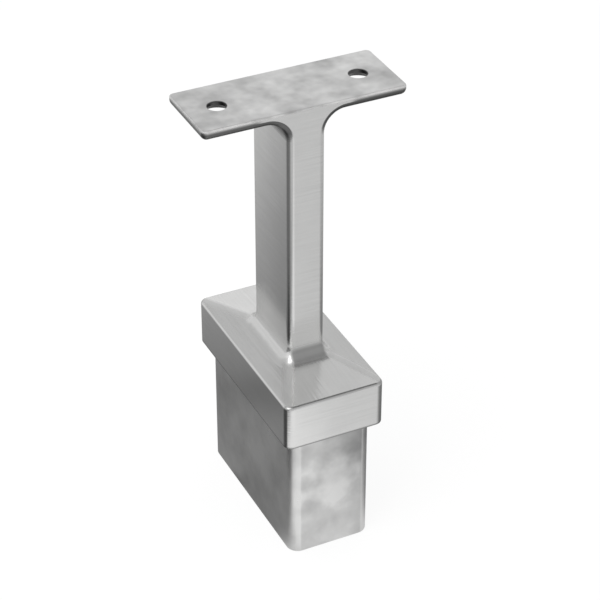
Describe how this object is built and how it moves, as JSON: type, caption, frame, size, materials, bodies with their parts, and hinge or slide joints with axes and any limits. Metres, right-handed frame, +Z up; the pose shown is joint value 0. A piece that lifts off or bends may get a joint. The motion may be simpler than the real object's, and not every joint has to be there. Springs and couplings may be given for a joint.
{
  "type": "handrail bracket",
  "caption": "Cast post-top bracket: a plug and flush collar close a rectangular post, and a slim stem carries a flat drilled saddle plate for a handrail.",
  "frame": {"origin": "centre of the collar's underside, where the post's cut end sits", "axes": "+X along the saddle plate, +Y along the collar's long side, +Z up along the stem"},
  "size_m": [0.059, 0.06, 0.134],
  "materials": {
    "satin_steel": "satin, brushed on the stem and collar, blasted casting skin on the plate and plug"
  },
  "bodies": {
    "root": {"bracket": "satin_steel"}
  },
  "joints": []
}
